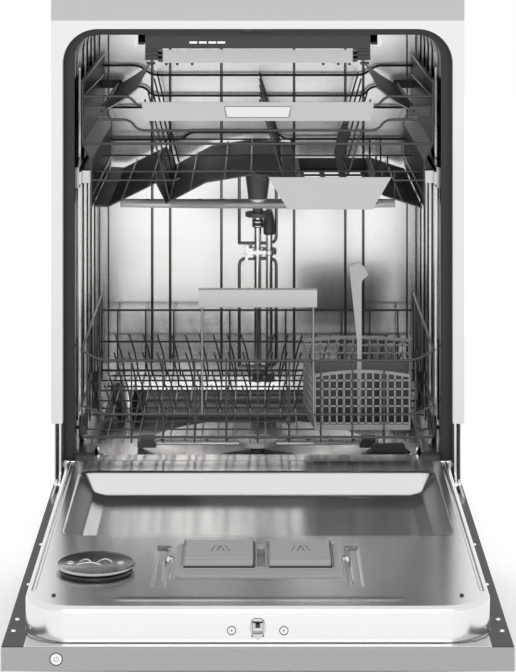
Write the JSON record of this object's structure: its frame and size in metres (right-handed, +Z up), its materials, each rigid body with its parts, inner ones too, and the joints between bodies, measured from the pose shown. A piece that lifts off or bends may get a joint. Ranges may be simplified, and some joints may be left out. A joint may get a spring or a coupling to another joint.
{
  "type": "dishwasher",
  "caption": "Free-standing dishwasher with a drop-down door, a stainless tub, racks on rails and wheels, spray arms and a cutlery basket.",
  "frame": {"origin": "middle of the footprint of the machine with its door open, at the floor", "axes": "+X to the right seen from the front, +Y from the front to the back, +Z up"},
  "size_m": [0.598, 1.2276, 0.85],
  "materials": {
    "worktop_grey": "satin",
    "cabinet_white": "satin",
    "frame_white": "satin",
    "dark_plastic": "matte",
    "seal_rubber": "matte",
    "galvanised_steel": "dull",
    "base_plastic": "matte",
    "kick_black": "matte",
    "tub_steel": "satin",
    "grey_plastic": "satin",
    "white_plastic": "satin",
    "pipe_steel": "polished",
    "hinge_steel": "satin",
    "rail_steel": "satin",
    "door_dark": "satin",
    "fascia_grey": "satin",
    "button_white": "satin",
    "liner_steel": "brushed",
    "dispenser_grey": "satin",
    "vent_steel": "satin",
    "arm_steel": "satin",
    "rack_black": "matte",
    "rack_wire": "satin",
    "handle_grey": "satin",
    "wheel_plastic": "matte",
    "basket_plastic": "satin"
  },
  "bodies": {
    "cabinet": {"worktop": "worktop_grey", "side_panels": "cabinet_white", "front_frame": "frame_white", "opening_jamb": "dark_plastic", "door_gasket": "seal_rubber", "rear_panel": "galvanised_steel", "base_tray": "base_plastic", "levelling_feet": "base_plastic", "toe_kick": "kick_black", "tub_wrapper": "tub_steel", "tub_back": "tub_steel", "tub_floor": "tub_steel", "sump": "grey_plastic", "filter_basket": "grey_plastic", "salt_cap": "dark_plastic", "circulation_pump": "grey_plastic", "drain_pump": "grey_plastic", "inlet_valve": "white_plastic", "drain_outlet": "grey_plastic", "feed_pipes": "pipe_steel", "pipe_fittings": "grey_plastic", "latch_strike": "dark_plastic", "hinge_brackets": "hinge_steel", "rack_rails": "rail_steel"},
    "door": {"door_panel": "door_dark", "control_fascia": "fascia_grey", "control_module": "dark_plastic", "door_liner": "liner_steel", "dispenser_body": "dispenser_grey", "vent": "vent_steel", "latch_housing": "dark_plastic", "hinge_arms": "hinge_steel"},
    "power_button": {"power_button": "button_white"},
    "detergent_lid": {"detergent_lid": "dispenser_grey"},
    "rinse_aid_lid": {"rinse_aid_lid": "dispenser_grey"},
    "latch_bolt": {"latch_bolt": "hinge_steel"},
    "lower_spray_arm": {"lower_spray_arm": "arm_steel"},
    "cutlery_tray": {"cutlery_tray": "rack_black", "cutlery_tray_handle": "handle_grey"},
    "upper_rack": {"upper_rack_ends": "rack_wire", "upper_rack_sides": "rack_black", "upper_rack_floor": "rack_black", "upper_rack_handle": "handle_grey", "rack_runners": "rail_steel", "feed_tube": "grey_plastic"},
    "rail_slides": {"rail_slides": "rail_steel"},
    "upper_spray_arm": {"upper_spray_arm": "arm_steel"},
    "cup_shelf_left": {"cup_shelf_left": "rack_black"},
    "cup_shelf_right": {"cup_shelf_right": "rack_black"},
    "utensil_tray": {"utensil_tray": "rack_black", "utensil_tray_handle": "handle_grey"},
    "lower_rack": {"lower_rack_ends": "rack_wire", "lower_rack_sides": "rack_wire", "lower_rack_floor": "rack_wire", "lower_rack_handle": "handle_grey", "cutlery_basket": "basket_plastic"},
    "folding_tines_front": {"folding_tines_front": "rack_wire"},
    "folding_tines_rear": {"folding_tines_rear": "rack_wire"},
    "front_wheels": {"front_wheels": "wheel_plastic"},
    "rear_wheels": {"rear_wheels": "wheel_plastic"}
  },
  "joints": [
    {"name": "door_hinge", "type": "hinge", "parent": "cabinet", "child": "door", "pos_m": [0, 0.0508, 0.15], "axis": [1, 0, 0], "range_deg": [-90, 0]},
    {"name": "detergent_lid_hinge", "type": "hinge", "parent": "door", "child": "detergent_lid", "pos_m": [-0.048, -0.3622, 0.189], "axis": [-1, 0, 0], "range_deg": [0, 95]},
    {"name": "rinse_aid_lid_hinge", "type": "hinge", "parent": "door", "child": "rinse_aid_lid", "pos_m": [0.0525, -0.3622, 0.189], "axis": [-1, 0, 0], "range_deg": [0, 95]},
    {"name": "power_button_press", "type": "slide", "parent": "door", "child": "power_button", "axis": [0, 1, 0], "range_m": [0, 0.0015], "stiffness_N_per_m": 600},
    {"name": "latch_bolt_press", "type": "slide", "parent": "door", "child": "latch_bolt", "axis": [0, 1, 0], "range_m": [0, 0.003], "stiffness_N_per_m": 800},
    {"name": "lower_spray_arm_spin", "type": "hinge", "parent": "cabinet", "child": "lower_spray_arm", "pos_m": [0, 0.3208, 0.142], "axis": [0, 0, 1], "continuous": true},
    {"name": "cutlery_tray_slide", "type": "slide", "parent": "cabinet", "child": "cutlery_tray", "axis": [0, -1, 0], "range_m": [0, 0.4]},
    {"name": "upper_rack_slide", "type": "slide", "parent": "cabinet", "child": "upper_rack", "axis": [0, -1, 0], "range_m": [0, 0.44]},
    {"name": "rail_slides_slide", "type": "slide", "parent": "cabinet", "child": "rail_slides", "axis": [0, -1, 0], "range_m": [0, 0.22]},
    {"name": "upper_spray_arm_spin", "type": "hinge", "parent": "upper_rack", "child": "upper_spray_arm", "pos_m": [0, 0.3208, 0.515], "axis": [0, 0, 1], "continuous": true},
    {"name": "cup_shelf_left_hinge", "type": "hinge", "parent": "upper_rack", "child": "cup_shelf_left", "pos_m": [-0.229, 0.3158, 0.683], "axis": [0, -1, 0], "range_deg": [0, 52]},
    {"name": "cup_shelf_right_hinge", "type": "hinge", "parent": "upper_rack", "child": "cup_shelf_right", "pos_m": [0.229, 0.3158, 0.683], "axis": [0, 1, 0], "range_deg": [0, 52]},
    {"name": "utensil_tray_slide", "type": "slide", "parent": "upper_rack", "child": "utensil_tray", "axis": [0, -1, 0], "range_m": [0, 0.28]},
    {"name": "lower_rack_slide", "type": "slide", "parent": "cabinet", "child": "lower_rack", "axis": [0, -1, 0], "range_m": [0, 0.44]},
    {"name": "folding_tines_front_hinge", "type": "hinge", "parent": "lower_rack", "child": "folding_tines_front", "pos_m": [0, 0.1758, 0.2109], "axis": [-1, 0, 0], "range_deg": [0, 78]},
    {"name": "folding_tines_rear_hinge", "type": "hinge", "parent": "lower_rack", "child": "folding_tines_rear", "pos_m": [0, 0.4058, 0.2109], "axis": [-1, 0, 0], "range_deg": [0, 78]},
    {"name": "front_wheels_roll", "type": "hinge", "parent": "lower_rack", "child": "front_wheels", "pos_m": [0, 0.1758, 0.2023], "axis": [1, 0, 0], "continuous": true},
    {"name": "rear_wheels_roll", "type": "hinge", "parent": "lower_rack", "child": "rear_wheels", "pos_m": [0, 0.4758, 0.2023], "axis": [1, 0, 0], "continuous": true}
  ],
  "couplings": [
    {"joint": "rail_slides_slide", "follows": "upper_rack_slide", "ratio": 0.5},
    {"joint": "front_wheels_roll", "follows": "lower_rack_slide", "rad_per_m": 55.556},
    {"joint": "rear_wheels_roll", "follows": "lower_rack_slide", "rad_per_m": 55.556}
  ]
}
